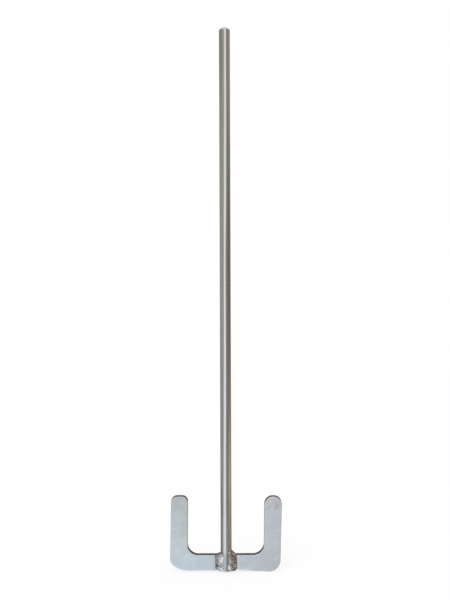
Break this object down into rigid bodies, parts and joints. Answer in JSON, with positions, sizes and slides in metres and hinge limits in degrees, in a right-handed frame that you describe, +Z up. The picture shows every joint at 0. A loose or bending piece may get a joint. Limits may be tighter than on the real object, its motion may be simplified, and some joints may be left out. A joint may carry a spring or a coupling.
{
  "type": "mortar mixing paddle",
  "caption": "Straight round steel shaft with L-shaped flat blades welded to its foot, turned by a power drill to stir mortar.",
  "frame": {"origin": "on the shaft's axis, at the foot of the shaft", "axes": "+Z up the shaft towards the drill, +X to the right blade, -Y is the front that the picture shows"},
  "size_m": [0.1019, 0.0106, 0.4942],
  "materials": {
    "drawn_bar": "bright drawn bar with fine lines along its length",
    "plate_steel": "satin mill surface with darker cut edges",
    "weld_metal": "rippled weld with brown heat tint"
  },
  "bodies": {
    "root": {"shaft": "drawn_bar", "left_blade": "plate_steel", "right_blade": "plate_steel", "weld_front_left": "weld_metal", "weld_front_right": "weld_metal", "weld_rear_left": "weld_metal", "weld_rear_right": "weld_metal", "weld_top_left": "weld_metal", "weld_top_right": "weld_metal"}
  },
  "joints": []
}
